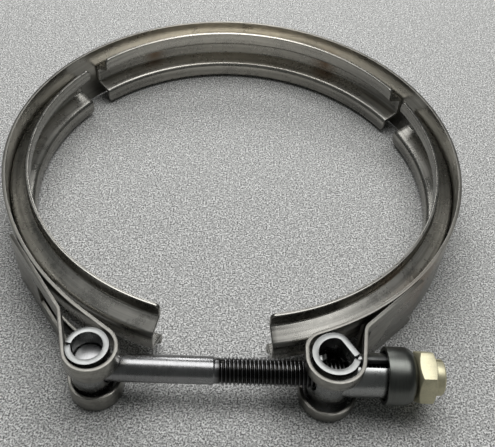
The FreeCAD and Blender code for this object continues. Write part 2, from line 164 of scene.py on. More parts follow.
def angle(name, description, default):
    """An angle property, whose default is given in degrees."""
    return bpy.props.FloatProperty(name=name, description=description,
                                   default=math.radians(default), subtype="ANGLE")


def colour(name, description, default):
    """A colour property."""
    return bpy.props.FloatVectorProperty(name=name, description=description, default=default,
                                         subtype="COLOR", min=0, max=1, size=3)


class StrapSizes(bpy.types.PropertyGroup):
    """The strap round the ring and the loop at each of its ends."""

    inner_radius: length("Inner Radius", "Inner radius of the strap where it is round", 61.3)
    sheet: length("Sheet", "Thickness of the strap", 0.9)
    lap: length("Lap Gap", "Gap between the strap and a tail that is welded to it", 0.05)
    left_ease_angle: angle("Left Ease", "Where the strap's left end starts to spring away", 193.0)
    left_ease: length("Left Ease Gain", "How much larger its radius is past there", 12.3)
    right_ease_angle: angle("Right Ease", "Where the strap's right end starts to spring away", 345.0)
    right_ease: length("Right Ease Gain", "How much larger its radius is past there", 2.6)
    left_weld: angle("Left Weld", "Direction of the left tail's weld", 215.6)
    left_tail: length("Left Tail", "Length of the left tail past its weld", 8.1)
    left_lean: angle("Left Lean", "Lean of the left loop's free side", 14.0)
    left_bend: length("Left Bend", "Radius of the bend into the left tail", 2.5)
    right_weld: angle("Right Weld", "Direction of the right tail's weld", 313.0)
    right_tail: length("Right Tail", "Length of the right tail past its weld", 4.6)
    right_lean: angle("Right Lean", "Lean of the right loop's free side", 8.0)
    right_bend: length("Right Bend", "Radius of the bend into the right tail", 3.0)
    corner: length("Corner", "Radius of the corner between strap and right loop", 4.55)
    left_room: length("Left Loop Room", "Room between the left trunnion and its loop", 0.55)
    left_shift: length("Left Loop Shift", "How far the left loop stands off its pin", 0.45)
    right_room: length("Right Loop Room", "Room between the right trunnion and its loop", 0.5)
    right_shift: length("Right Loop Shift", "How far the right loop stands off its pin", 0.5)
    left_slot_angle: angle("Left Slot", "Direction in which the left slot starts", 219.7)
    right_slot_angle: angle("Right Slot", "Direction in which the right slot starts", 301.0)
    slot_room: length("Slot Room", "Room above and below what passes a slot", 0.1)


class RetainerSizes(bpy.types.PropertyGroup):
    """The pressed V channels that line the strap."""

    sheet: length("Sheet", "Thickness of the channel", 1.0)
    depth: length("Depth", "How far the lips stand inside the strap", 5.9)
    bend: length("Bend", "Radius of the channel's bends", 1.1)
    slope: angle("Leg Slope", "Slope of the channel's legs", 20.0)
    web: length("Half Web", "Half the height of the channel's web", 2.6)
    lip_corner: length("Lip Corner", "Radius of the lips' corners", 1.4)
    left_start: angle("Left Start", "Where the left channel starts", 143.9)
    left_span: angle("Left Span", "How far the left channel reaches", 109.3)
    rear_start: angle("Rear Start", "Where the rear channel starts", 31.5)
    rear_span: angle("Rear Span", "How far the rear channel reaches", 105.5)
    right_start: angle("Right Start", "Where the right channel starts", 279.2)
    right_span: angle("Right Span", "How far the right channel reaches", 106.6)


class TrunnionSizes(bpy.types.PropertyGroup):
    """The two rolled tubes that stand in the loops."""

    left_radius: length("Left Radius", "Outer radius of the left trunnion", 4.7)
    left_sheet: length("Left Sheet", "Thickness of the left trunnion", 1.25)
    left_slit: angle("Left Slit", "Where the left trunnion's slit starts", 172.0)
    left_end: angle("Left End", "Where the left trunnion's round part ends", 192.0)
    left_flat: length("Left Flat", "Straight end of the left trunnion", 0.8)
    right_radius: length("Right Radius", "Outer radius of the right trunnion", 5.3)
    right_sheet: length("Right Sheet", "Thickness of the right trunnion", 1.35)
    right_slit: angle("Right Slit", "Where the right trunnion's slit starts", -17.0)
    right_end: angle("Right End", "Where the right trunnion's round part ends", 90.0)
    right_bend: length("Right Bend", "Radius of the bend into its flat end", 2.5)
    right_turn: angle("Right Turn", "Turn of the bend into its flat end", 58.0)
    right_flat: length("Right Flat", "Length of its flat end", 4.4)
    hole_room: length("Hole Room", "Room round the shank in the left trunnion", 0.2)


class BoltSizes(bpy.types.PropertyGroup):
    """The T-bolt with its cross head, neck and thread."""

    radius: length("Radius", "Radius of the shank and of the thread's crests", 3.175)
    shank: length("Shank", "Where the shank ends, from the left pin", 27.2)
    neck: length("Neck", "Length of the neck between shank and thread", 1.3)
    neck_depth: length("Neck Depth", "Depth of the neck", 0.3)
    thread: length("Thread", "Length of the thread", 49.9)
    pitch: length("Pitch", "Pitch of the thread", 0.907)
    thread_depth: length("Thread Depth", "Depth of the thread", 0.5)
    chamfer: length("Chamfer", "Chamfer at the bolt's end", 0.35)
    head_radius: length("Head Radius", "Radius of the cross head", 3.4)
    head_half: length("Half Head", "Half the length of the cross head", 4.5)
    head_round: length("Head Round", "Rounding of the cross head's ends", 0.6)


class StackSizes(bpy.types.PropertyGroup):
    """What the bolt's threaded end carries: sleeve, cup washer and lock nut."""

    sleeve_room: length("Sleeve Room", "Room between bolt and sleeve", 0.625)
    sleeve_sheet: length("Sleeve Sheet", "Thickness of the sleeve", 1.2)
    sleeve_seam: length("Sleeve Seam", "Width of the sleeve's open seam", 2.0)
    saddle_room: length("Saddle Room", "Gap between the sleeve and the trunnion", 0.05)
    cup_room: length("Cup Room", "Room between sleeve and cup", 0.65)
    cup_sheet: length("Cup Sheet", "Thickness of the cup", 0.9)
    cup_shoulder: length("Cup Shoulder", "Radius of the cup's shoulder", 2.45)
    cup_bore_room: length("Cup Bore Room", "Room between bolt and the cup's bore", 0.225)
    nut_flats: length("Across Flats", "Width of the nut's hexagon", 11.11)
    nut_hex: length("Hexagon Length", "Length of the nut's hexagon", 3.9)
    nut_chamfer: length("Nut Chamfer", "Depth of the chamfer inside the flats", 0.15)
    nut_turn: angle("Nut Turn", "How the nut is turned on the bolt", 5.5)
    nut_room: length("Nut Room", "Room between bolt and nut", 0.05)
    collar_radius: length("Collar Radius", "Radius of the slotted collar", 4.1)
    collar_end: length("Collar End", "How far the collar stays inside the packed nut", 0.7)
    collar_chamfer: length("Collar Chamfer", "Chamfer at the collar's end", 0.35)
    collar_turn: angle("Collar Turn", "How the slots are turned from straight up", 38.0)
    slot_width: length("Collar Slot", "Width of the collar's slots", 0.7)
    slot_depth: length("Slot Depth", "Depth of the collar's slots", 2.4)


class FinishColours(bpy.types.PropertyGroup):
    """Colours of the metals and of the floor, and colours that paint in shade and highlight."""

    strap: colour("Strap", "Bare stainless strap", (0.34, 0.33, 0.30))
    retainer: colour("Retainer", "Bare stainless channels", (0.39, 0.38, 0.35))
    # Brown of welding, also used to paint the shadow in the left tail's wedge.
    heat_tint_and_painted_shadow: colour("Heat Tint", "Brown that welding leaves", (0.20, 0.115, 0.055))
    # Painted highlight with a straw hue: this pale colour, far lighter than the steel, lightens the
    # rear top as the sheen of the light there does.
    straw_and_painted_sheen: colour("Straw Tint", "Pale straw that heat leaves at the rear", (0.82, 0.77, 0.67))
    trunnion: colour("Trunnion", "Rolled trunnions", (0.28, 0.285, 0.28))
    bolt: colour("Bolt", "Turned bolt", (0.27, 0.27, 0.272))
    # Painted shade: this colour darkens the thread's grooves, where shade falls.
    groove_shade: colour("Grime", "What darkens the thread's grooves", (0.03, 0.029, 0.027))
    sleeve: colour("Sleeve", "Rolled sleeve", (0.33, 0.335, 0.33))
    cup: colour("Cup", "Dark drawn cup", (0.135, 0.14, 0.13))
    nut: colour("Nut", "Yellow-green zinc", (0.68, 0.64, 0.45))
    floor: colour("Floor", "Pale speckled floor", (0.49, 0.49, 0.48))


SIZE_GROUPS = {
    "strap": StrapSizes,
    "retainers": RetainerSizes,
    "trunnions": TrunnionSizes,
    "bolt": BoltSizes,
    "stack": StackSizes,
    "finish": FinishColours,
}


def sizes(group):
    """The scene's own copy of a property group."""
    return getattr(bpy.context.scene, f"clamp_{group}")


# Modelling helpers: each works on the piece that is active.

def begin(name, start):
    """A new piece in edit mode, gathered into one vertex where its profile starts."""
    bpy.ops.object.select_all(action="DESELECT")
    bpy.ops.mesh.primitive_plane_add(size=MM)
    piece = bpy.context.object
    piece.name = name
    piece.data.name = name
    bpy.ops.object.mode_set(mode="EDIT")
    bpy.ops.mesh.merge(type="CENTER")
    bpy.ops.transform.translate(value=start)
    return piece


def in_object_mode():
    """Leave edit mode."""
    bpy.ops.object.mode_set(mode="OBJECT")


def in_edit_mode():
    """Enter edit mode."""
    bpy.ops.object.mode_set(mode="EDIT")


def select_all():
    """Select the whole mesh."""
    bpy.ops.mesh.select_all(action="SELECT")


def extrude(step):
    """Extrude what is selected."""
    bpy.ops.mesh.extrude_region_move(TRANSFORM_OT_translate={"value": step})


def spin(turn, centre, axis, steps):
    """Spin what is selected, counter-clockwise round the axis: the tool turns the other way."""
    bpy.ops.mesh.spin(steps=steps, angle=-turn, center=centre, axis=axis)


def weld():
    """Weld vertices that lie on each other."""
    select_all()
    bpy.ops.mesh.remove_doubles(threshold=WELD)


def finish_mesh():
    """Turn all faces outwards and leave edit mode."""
    select_all()
    bpy.ops.mesh.normals_make_consistent(inside=False)
    in_object_mode()


def select_vertices(piece, test):
    """Select the vertices whose place passes a test, from edit mode."""
    bpy.ops.mesh.select_all(action="DESELECT")
    bpy.ops.mesh.select_mode(type="VERT")
    in_object_mode()
    for vertex in piece.data.vertices:
        vertex.select = test(vertex.co)
    in_edit_mode()


def apply_modifier(piece, kind, **settings):
    """Add a modifier to a piece in object mode and apply it."""
    modifier = piece.modifiers.new(kind.title(), kind)
    for key, value in settings.items():
        setattr(modifier, key, value)
    bpy.context.view_layer.objects.active = piece
    bpy.ops.object.modifier_apply(modifier=modifier.name)


def thicken(piece, thickness):
    """Give a sheet its thickness, half to each side, with its faces outwards."""
    apply_modifier(piece, "SOLIDIFY", thickness=thickness, offset=0, use_even_offset=True)
    in_edit_mode()
    finish_mesh()


def soften(piece, width, segments=2, limit=40):
    """Round the edges that turn by more than a limit in degrees."""
    apply_modifier(piece, "BEVEL", width=width, segments=segments, limit_method="ANGLE",
                   angle_limit=math.radians(limit), use_clamp_overlap=True)


def cut(piece, tool, operation="DIFFERENCE"):
    """Cut a piece with a tool, which is used up, and make sure that the cut was made."""
    count, reach = len(piece.data.vertices), max(piece.dimensions)
    apply_modifier(piece, "BOOLEAN", object=tool, operation=operation, solver="EXACT")
    bpy.context.view_layer.update()
    if len(piece.data.vertices) in (0, count) or max(piece.dimensions) > reach + NEAR:
        raise RuntimeError(f"{tool.name} does not cut {piece.name}")
    bpy.data.objects.remove(tool)


def pick(piece, *others):
    """Select pieces and make the first one active."""
    bpy.ops.object.select_all(action="DESELECT")
    for part in (piece, *others):
        part.select_set(True)
    bpy.context.view_layer.objects.active = piece


def join(piece, *others):
    """Join other meshes into a piece."""
    pick(piece, *others)
    bpy.ops.object.join()


def fit(piece, node, body, finish):
    """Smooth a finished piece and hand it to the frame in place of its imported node."""
    pick(piece)
    bpy.ops.object.shade_smooth_by_angle(angle=CRISP)
    piece.data.materials.clear()
    piece.data.materials.append(finish)
    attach(piece, body)
    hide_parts(node)


class Walk:
    """A profile walked from the selected end: runs are extruded and bends are spun."""

    def __init__(self, point, heading, right=ALONG, ahead=ACROSS):
        self.point = Vector(point)
        self.heading = heading
        self.right = right
        self.ahead = ahead
        self.normal = right.cross(ahead)

    def direction(self, heading):
        """Unit vector of a heading in the profile's plane."""
        return self.right * math.cos(heading) + self.ahead * math.sin(heading)

    def line(self, length):
        """Go straight on."""
        step = self.direction(self.heading) * length
        extrude(step)
        self.point = self.point + step

    def arc(self, radius, turn, step=BEND_STEP):
        """Bend by an angle, positive to the left."""
        side = math.copysign(QUARTER, turn)
        centre = self.point + self.direction(self.heading + side) * radius
        spin(turn, centre, self.normal, max(2, math.ceil(abs(turn) / step)))
        self.point = centre + self.direction(self.heading - side + turn) * radius
        self.heading += turn


def polar(turn, radius=1.0):
    """Point at a radius and an angle from +X."""
    return Vector((radius * math.cos(turn), radius * math.sin(turn), 0))


def revolve(centre, axis, facets):
    """Spin the whole profile through a full turn into a closed shape."""
    select_all()
    spin(FULL, centre, axis, facets)
    weld()
    finish_mesh()


def turned(name, corners):
    """A shape turned round the bolt's line from corners given as x and radius."""
    shape = begin(name, BOLT_LINE + ALONG * corners[0][0] + UP * corners[0][1])
    for before, after in zip(corners, corners[1:]):
        extrude(ALONG * (after[0] - before[0]) + UP * (after[1] - before[1]))
    revolve(BOLT_LINE, ALONG, TURNED_FACETS)
    return shape


def rod(name, start, end, radius):
    """A rod along the bolt's line."""
    return turned(name, [(start, 0), (start, radius), (end, radius), (end, 0)])


def upright_rod(name, pin, radius):
    """A rod that stands on a pin's line and reaches far past the part."""
    half_height = 4 * radius
    base = pin - UP * half_height
    shape = begin(name, base + ALONG * radius)
    spin(FULL, base, UP, FINE_FACETS)
    weld()
    bpy.ops.mesh.edge_face_add()
    extrude(UP * 2 * half_height)
    finish_mesh()
    return shape


def prism(name, corners, half_height):
    """An upright prism over a polygon."""
    shape = begin(name, Vector((*corners[0], -half_height)))
    for before, after in zip(corners, corners[1:]):
        extrude(Vector((*after, 0)) - Vector((*before, 0)))
    select_all()
    bpy.ops.mesh.edge_face_add()
    extrude(UP * 2 * half_height)
    finish_mesh()
    return shape


# Finishes.

# Scales of the noises, in cycles per metre.
CLOUD_SCALE = 160
SMEAR_SCALE = 900
TEAR_SCALE = 1400
ZINC_PATCH_SCALE = 260
ZINC_PIT_SCALE = 2600
SPECK_SCALE = 2300
BLOTCH_SCALE = 800
# How finely the lines of each grain follow each other, along three axes.
RING_LINES = (3, 2400, 2400)
RING_BANDS = (1.2, 900, 900)
UPRIGHT_LINES = (5000, 5000, 500)
TURNED_LINES = (9000, 300, 300)
# Parts of a noise's reach: where most of it lies, its middle, and a hard step.
WIDE = (0.3, 0.7)
MIDDLE = (0.35, 0.65)
HARD = (0.38, 0.62)
# Steel: how much lighter its lines are and how much its clouds and bands change it.
LINE_GAIN = 1.35
LINE_STRENGTH = 0.6
MOTTLE = 0.1
BAND_GAIN = 0.3
# Bumps: their height, and how strongly brush lines and zinc's pits raise them.
BUMP_HEIGHT = 0.02 * MM
LINE_BUMP = 0.02
PIT_BUMP = 0.25
PIT_COLOUR = (0.36, 0.33, 0.2)


def new_finish(name, metallic):
    """A new material, its node tree and its shader."""
    finish = bpy.data.materials.new(name)
    finish.use_nodes = True
    tree = finish.node_tree
    shader = tree.nodes["Principled BSDF"]
    shader.inputs["Metallic"].default_value = metallic
    return finish, tree, shader


def add(tree, kind, inputs=(), **settings):
    """Add a node, set its properties, and link or set its inputs."""
    node = tree.nodes.new(f"ShaderNode{kind}")
    for key, value in settings.items():
        setattr(node, key, value)
    for socket, value in dict(inputs).items():
        feed(tree, node.inputs[socket], value)
    return node


def feed(tree, socket, value):
    """Link a socket to another node's, or set its value."""
    if isinstance(value, bpy.types.NodeSocket):
        tree.links.new(value, socket)
    else:
        socket.default_value = value


def calculate(tree, operation, first, second=0.0):
    """One step of arithmetic."""
    return add(tree, "Math", {0: first, 1: second}, operation=operation).outputs[0]


def calculate_vector(tree, operation, first, second):
    """One step of vector arithmetic: its outputs are a vector and a value."""
    return add(tree, "VectorMath", {0: first, 1: second}, operation=operation).outputs


def place_of(tree):
    """Object coordinates."""
    return add(tree, "TexCoord").outputs["Object"]


def part_of(tree, vector, axis):
    """One component of a vector."""
    return add(tree, "SeparateXYZ", {0: vector}).outputs[axis]


def stretched(tree, vector, scale):
    """Coordinates scaled along each axis."""
    return add(tree, "Mapping", {"Vector": vector, "Scale": scale}).outputs["Vector"]


def distance_off(tree, vector, axes):
    """Distance from the origin, counted only along the axes whose factor is 1."""
    flat = calculate_vector(tree, "MULTIPLY", vector, axes)["Vector"]
    return calculate_vector(tree, "LENGTH", flat, (0, 0, 0))["Value"]


def noise(tree, vector, scale, detail, roughness):
    """Fractal noise between 0 and 1."""
    return add(tree, "TexNoise", {
        "Vector": vector, "Scale": scale, "Detail": detail, "Roughness": roughness,
    }).outputs["Fac"]


def ramp(tree, value, low, high, start=0.0, end=1.0):
    """Map a value from one range to another, held at both ends."""
    return add(tree, "MapRange", {
        "Value": value, "From Min": low, "From Max": high, "To Min": start, "To Max": end,
    }).outputs["Result"]


def blend_colours(tree, factor, first, second):
    """Mix two colours."""
    node = add(tree, "Mix", data_type="RGBA")
    for socket, value in ((0, factor), (6, first), (7, second)):
        feed(tree, node.inputs[socket], value)
    return node.outputs[2]


def raise_bumps(tree, shader, height, strength):
    """Let a pattern raise the surface a little."""
    bump = add(tree, "Bump", {"Height": height, "Strength": strength, "Distance": BUMP_HEIGHT})
    tree.links.new(bump.outputs["Normal"], shader.inputs["Normal"])


def opaque(rgb, gain=1.0):
    """A colour with full alpha, made lighter or darker."""
    return tuple(min(1.0, part * gain) for part in rgb) + (1.0,)


def spot(tree, centre, reach, soft):
    """1 near a place, fading to 0 beyond its reach, all in millimetres."""
    away = calculate_vector(tree, "DISTANCE", place_of(tree), Vector(centre) * MM)["Value"]
    return ramp(tree, away, (reach + soft) * MM, (reach - soft) * MM)


def round_the_ring(tree):
    """Coordinates that follow the ring: angle, radius and height."""
    place = place_of(tree)
    turn = calculate(tree, "ARCTAN2", part_of(tree, place, "Y"), part_of(tree, place, "X"))
    radius = distance_off(tree, place, (1, 1, 0))
    height = part_of(tree, place, "Z")
    return add(tree, "CombineXYZ", {0: turn, 1: radius, 2: height}).outputs[0]


def edge_finish_and_shade(tree):
    """1 on the flat, shear-cut edges above and below, unevenly: the mask for their rougher finish and
    for painted shade that dims the lamp's glint on them.
    """
    normal = add(tree, "TexCoord").outputs["Normal"]
    face = ramp(tree, calculate(tree, "ABSOLUTE", part_of(tree, normal, "Z")), 0.8, 0.97)
    torn = ramp(tree, noise(tree, place_of(tree), TEAR_SCALE, 4.0, 0.6), *WIDE, 0.55, 1.0)
    return calculate(tree, "MULTIPLY", face, torn)


def groove_depth(tree):
    """Painted shade in the thread's grooves: 0 on the thread's crests and on the shank, rising to 1 at
    the thread's root.
    """
    bolt = sizes("bolt")
    place = calculate_vector(tree, "SUBTRACT", place_of(tree), BOLT_LINE)["Vector"]
    deep = ramp(tree, distance_off(tree, place, (0, 1, 1)), bolt.radius - 0.08 * MM,
                bolt.radius - 0.7 * bolt.thread_depth, 0.35, 1.0)
    start = LEFT_PIN.x + bolt.shank
    threaded = ramp(tree, part_of(tree, place, "X"), start, start + bolt.neck)
    return calculate(tree, "MULTIPLY", deep, threaded)


def brushed(name, base, rough, grain, stains_and_painted_light=(), groove_shade=None, edge_shade_gain=None, bands=0.0):
    """Satin steel: brush lines along its grain, faint mottling, smears and heat tints, with painted
    highlight and shadow patches and painted shade in the thread's grooves and on the cut edges.

    Each patch is a place, a reach and a softness in millimetres, a strength and a tint; besides heat
    tints, the patches paint in highlight and shadow.
    """
    finish, tree, shader = new_finish(name, 1.0)
    lines = noise(tree, grain(tree), 1.0, 3.0, 0.5)
    cloud = noise(tree, place_of(tree), CLOUD_SCALE, 5.0, 0.65)
    smear = noise(tree, place_of(tree), SMEAR_SCALE, 3.0, 0.6)
    mottled = blend_colours(tree, ramp(tree, cloud, *WIDE), opaque(base, 1 - MOTTLE),
                            opaque(base, 1 + MOTTLE))
    shade = blend_colours(tree, ramp(tree, lines, *MIDDLE, 0.0, LINE_STRENGTH), mottled,
                          opaque(base, LINE_GAIN))
    if bands:
        # Darker streaks that run round the ring, placed at random across the section.
        rolled = noise(tree, stretched(tree, round_the_ring(tree), RING_BANDS), 1.0, 2.0, 0.5)
        level = ramp(tree, rolled, 0.36, 0.64, bands, 0.0)
        shade = blend_colours(tree, level, shade, opaque(base, BAND_GAIN))
    for centre, reach, soft, strength, tint in stains_and_painted_light:
        uneven = ramp(tree, cloud, 0.25, 0.6, 0.4, 1.0)
        patch = calculate(tree, "MULTIPLY", spot(tree, centre, reach, soft), uneven)
        shade = blend_colours(tree, calculate(tree, "MULTIPLY", patch, strength), shade, opaque(tint))
    coarse = ramp(tree, cloud, *WIDE, rough - 0.05, rough + 0.07)
    gloss = calculate(tree, "ADD", coarse, ramp(tree, smear, 0.35, 0.7, -0.02, 0.03))
    # Rougher finish and painted shade on the up- and down-facing edges: their colour is darkened to dim
    # the lamp's glint.
    if edge_shade_gain:
        edge = edge_finish_and_shade(tree)
        shade = blend_colours(tree, edge, shade, opaque(base, edge_shade_gain))
        gloss = calculate(tree, "ADD", gloss, ramp(tree, edge, 0.0, 1.0, 0.0, 0.1))
    # Painted shade in the thread's grooves, darkest at their root.
    if groove_shade:
        shade = blend_colours(tree, groove_depth(tree), shade, opaque(groove_shade))
    tree.links.new(shade, shader.inputs["Base Color"])
    tree.links.new(gloss, shader.inputs["Roughness"])
    raise_bumps(tree, shader, lines, LINE_BUMP)
    return finish


def grain_round_ring(tree):
    """Brush lines that run round the ring."""
    return stretched(tree, round_the_ring(tree), RING_LINES)


def grain_up(tree):
    """Brush lines that run up a trunnion."""
    return stretched(tree, place_of(tree), UPRIGHT_LINES)


def grain_round_bolt(tree):
    """Turning marks round the bolt's line."""
    return stretched(tree, place_of(tree), TURNED_LINES)


def zinc(name, base):
    """Yellow-green zinc plating: soft sheen with pale and olive patches and fine pits."""
    finish, tree, shader = new_finish(name, 0.7)
    patches = noise(tree, place_of(tree), ZINC_PATCH_SCALE, 5.0, 0.6)
    pits = noise(tree, place_of(tree), ZINC_PIT_SCALE, 3.0, 0.6)
    pale = blend_colours(tree, ramp(tree, patches, *MIDDLE), opaque(base, 0.86), opaque(base, 1.12))
    shade = blend_colours(tree, ramp(tree, pits, 0.45, 0.75, 0.0, 0.3), pale, opaque(PIT_COLOUR))
    tree.links.new(shade, shader.inputs["Base Color"])
    tree.links.new(ramp(tree, patches, *WIDE, 0.36, 0.5), shader.inputs["Roughness"])
    raise_bumps(tree, shader, pits, PIT_BUMP)
    return finish


def speckled_floor(name, base):
    """A pale floor with fine grey speckle."""
    finish, tree, shader = new_finish(name, 0.0)
    specks = noise(tree, place_of(tree), SPECK_SCALE, 1.0, 0.6)
    blotches = noise(tree, place_of(tree), BLOTCH_SCALE, 2.0, 0.5)
    speckle = blend_colours(tree, ramp(tree, specks, *HARD), opaque(base, 0.25), opaque(base, 1.75))
    shade = blend_colours(tree, ramp(tree, blotches, 0.42, 0.62, 0.0, 0.45), speckle, opaque(base, 0.7))
    tree.links.new(shade, shader.inputs["Base Color"])
    shader.inputs["Roughness"].default_value = 0.7
    return finish


# Pieces.

def bend_corner(start, heading, centre, turn, distance):
    """How far along a line it meets the tangent at an angle and distance from a centre."""
    normal = polar(turn)
    return (distance - (start - centre).dot(normal)) / polar(heading).dot(normal)


def strap_column(start):
    """Raise the strap's end edge from its lowest to its highest point."""
    low, high = node_box("outer_band", 2)
    piece = begin("outer_band_strip", start + UP * low)
    extrude(UP * (high - low))
    select_all()
    return piece


def walk_right_end(strap, ring):
    """Walk the right tail and loop, and return the walk and the strip."""
    lap = strap.sheet + strap.lap
    ease_centre = polar(strap.right_ease_angle + math.pi, strap.right_ease)
    ease_radius = ring + strap.right_ease
    loop_radius = sizes("trunnions").right_radius + strap.right_room + strap.sheet / 2
    loop_centre = Vector((RIGHT_PIN.x, RIGHT_PIN.y - strap.right_shift, 0))
    corner_x = loop_centre.x - loop_radius + strap.corner
    drop = math.sqrt((ease_radius + strap.corner) ** 2 - (corner_x - ease_centre.x) ** 2)
    up = math.atan2(drop, ease_centre.x - corner_x)

    side_start = loop_centre + polar(-strap.right_lean, loop_radius)
    side_heading = QUARTER - strap.right_lean
    side = bend_corner(side_start, side_heading, ease_centre, strap.right_weld, ease_radius + lap)
    turn = side_heading - (strap.right_weld + QUARTER - FULL)
    reach = strap.right_bend * math.tan(turn / 2)
    tail_end = ease_centre + polar(strap.right_weld, ease_radius + lap)
    tail_end += polar(strap.right_weld + QUARTER, strap.right_tail)
    bend_point = side_start + polar(side_heading, side)

    piece = strap_column(tail_end)
    walk = Walk(tail_end, strap.right_weld - QUARTER)
    walk.line((tail_end - bend_point).length - reach)
    walk.arc(strap.right_bend, turn)
    walk.line(side - reach)
    walk.arc(loop_radius, strap.right_lean - math.pi, LOOP_STEP)
    walk.line(ease_centre.y - drop - loop_centre.y)
    walk.arc(strap.corner, up - math.pi)
    walk.arc(ease_radius, strap.right_ease_angle - up - math.pi, RING_STEP)
    return walk, piece


def walk_left_end(strap, ring, walk):
    """Walk on from the ring through the left loop to the end of its tail."""
    lap = strap.sheet + strap.lap
    ease_centre = polar(strap.left_ease_angle + math.pi, strap.left_ease)
    ease_radius = ring + strap.left_ease
    loop_radius = sizes("trunnions").left_radius + strap.left_room + strap.sheet / 2
    loop_centre = Vector((LEFT_PIN.x + strap.left_shift, LEFT_PIN.y, 0))
    between = loop_centre - ease_centre
    lead = math.acos((ease_radius + loop_radius) / between.length)
    leave = math.atan2(between.y, between.x) + FULL - lead
    walk.arc(ease_radius, leave - strap.left_ease_angle, RING_STEP)
    walk.line(between.length * math.sin(lead))

    side_heading = QUARTER + strap.left_lean
    walk.arc(loop_radius, side_heading - leave - QUARTER, LOOP_STEP)
    side = bend_corner(walk.point, side_heading, ease_centre, strap.left_weld, ease_radius + lap)
    bend_point = walk.point + polar(side_heading, side)
    tail_end = ease_centre + polar(strap.left_weld, ease_radius + lap)
    tail_end += polar(strap.left_weld - QUARTER, strap.left_tail)
    turn = strap.left_weld - QUARTER - side_heading
    reach = strap.left_bend * math.tan(turn / 2)
    walk.line(side - reach)
    walk.arc(strap.left_bend, turn)
    walk.line((tail_end - bend_point).length - reach)


def slot_tool(strap, side, pin, loop_radius, half_height):
    """The cutter for a loop's slot: a prism over all of the loop, up to the ring."""
    ease = getattr(strap, f"{side}_ease")
    start = getattr(strap, f"{side}_slot_angle")
    centre = polar(getattr(strap, f"{side}_ease_angle") + math.pi, ease)
    inner = centre + polar(start, strap.inner_radius + ease - strap.lap)
    outer = centre + polar(start, strap.inner_radius + ease + 4 * strap.sheet)
    inside = pin.x - math.copysign(2 * loop_radius, pin.x)
    front = pin.y - 2 * loop_radius
    back = pin.y + loop_radius + strap.sheet
    return prism(f"{side}_slot_cutter", [
        inner.xy, outer.xy, (outer.x, front), (inside, front), (inside, back),
    ], half_height)


def make_strap(finish):
    """One strip of sheet round the ring, folded into a slotted loop at each end."""
    strap = sizes("strap")
    bolt = sizes("bolt")
    stack = sizes("stack")
    trunnions = sizes("trunnions")
    ring = strap.inner_radius + strap.sheet / 2
    walk, piece = walk_right_end(strap, ring)
    walk.arc(ring, strap.left_ease_angle + FULL - strap.right_ease_angle, RING_STEP)
    walk_left_end(strap, ring, walk)
    in_object_mode()
    thicken(piece, strap.sheet)
    room = BOLT_HEIGHT + strap.slot_room
    cut(piece, slot_tool(strap, "left", LEFT_PIN, trunnions.left_radius, bolt.radius + room))
    sleeve = bolt.radius + stack.sleeve_room + stack.sleeve_sheet
    cut(piece, slot_tool(strap, "right", RIGHT_PIN, trunnions.right_radius, sleeve + room))
    soften(piece, STRAP_EDGE, limit=38)
    fit(piece, "outer_band", "ring", finish)


def make_channel(side, finish):
    """One pressed channel: its section is walked, then spun round its part of the ring."""
    channel = sizes("retainers")
    strap = sizes("strap")
    high = node_box(f"{side}_retainer", 2)[1]
    start = getattr(channel, f"{side}_start")
    span = getattr(channel, f"{side}_span")
    half = channel.sheet / 2
    lip = strap.inner_radius - channel.depth + half
    web = strap.inner_radius - strap.lap - half
    turn = QUARTER - channel.slope
    reach = channel.bend * math.tan(turn / 2)
    leg = (web - lip) / math.cos(channel.slope)
    foot = channel.web + (web - lip) * math.tan(channel.slope)
    outward = polar(start)

    piece = begin(f"{side}_retainer_channel", outward * lip + UP * high)
    walk = Walk(outward * lip + UP * high, -QUARTER, outward, UP)
    walk.line(high - foot - reach)
    for bend, run in ((turn, leg - 2 * reach), (-turn, 2 * (channel.web - reach)),
                      (-turn, leg - 2 * reach), (turn, high - foot - reach)):
        walk.arc(channel.bend, bend, SHOULDER_STEP)
        walk.line(run)
    select_all()
    spin(span, (0, 0, 0), UP, round(span / CHANNEL_STEP))
    round_lip_corners(piece, channel, lip, (start, start + span), high)
    in_object_mode()
    thicken(piece, channel.sheet)
    soften(piece, CHANNEL_EDGE, segments=3, limit=50)
    fit(piece, f"{side}_retainer", "ring", finish)


def round_lip_corners(piece, channel, lip, ends, height):
    """Round the four free corners of the lips."""
    corners = [polar(turn, lip) + UP * level for turn in ends for level in (height, -height)]
    select_vertices(piece, lambda place: any((place - corner).length < NEAR for corner in corners))
    bpy.ops.mesh.bevel(offset=channel.lip_corner, segments=4, affect="VERTICES")


def rolled_tube(side, pin):
    """A trunnion: its section is walked from its slit, past its round part to its flat end."""
    tube = sizes("trunnions")
    radius, sheet, slit, end = (getattr(tube, f"{side}_{name}")
                                for name in ("radius", "sheet", "slit", "end"))
    low, high = node_box(f"{side}_trunnion", 2)
    middle = radius - sheet / 2
    start = pin + UP * low + polar(slit, middle)
    piece = begin(f"{side}_trunnion_tube", start)
    walk = Walk(start, slit - QUARTER)
    walk.arc(middle, end - FULL - slit, LOOP_STEP)
    if side == "right":
        walk.arc(tube.right_bend, -tube.right_turn, FLAT_STEP)
    walk.line(getattr(tube, f"{side}_flat"))
    select_all()
    extrude(UP * (high - low))
    finish_mesh()
    thicken(piece, sheet)
    return piece


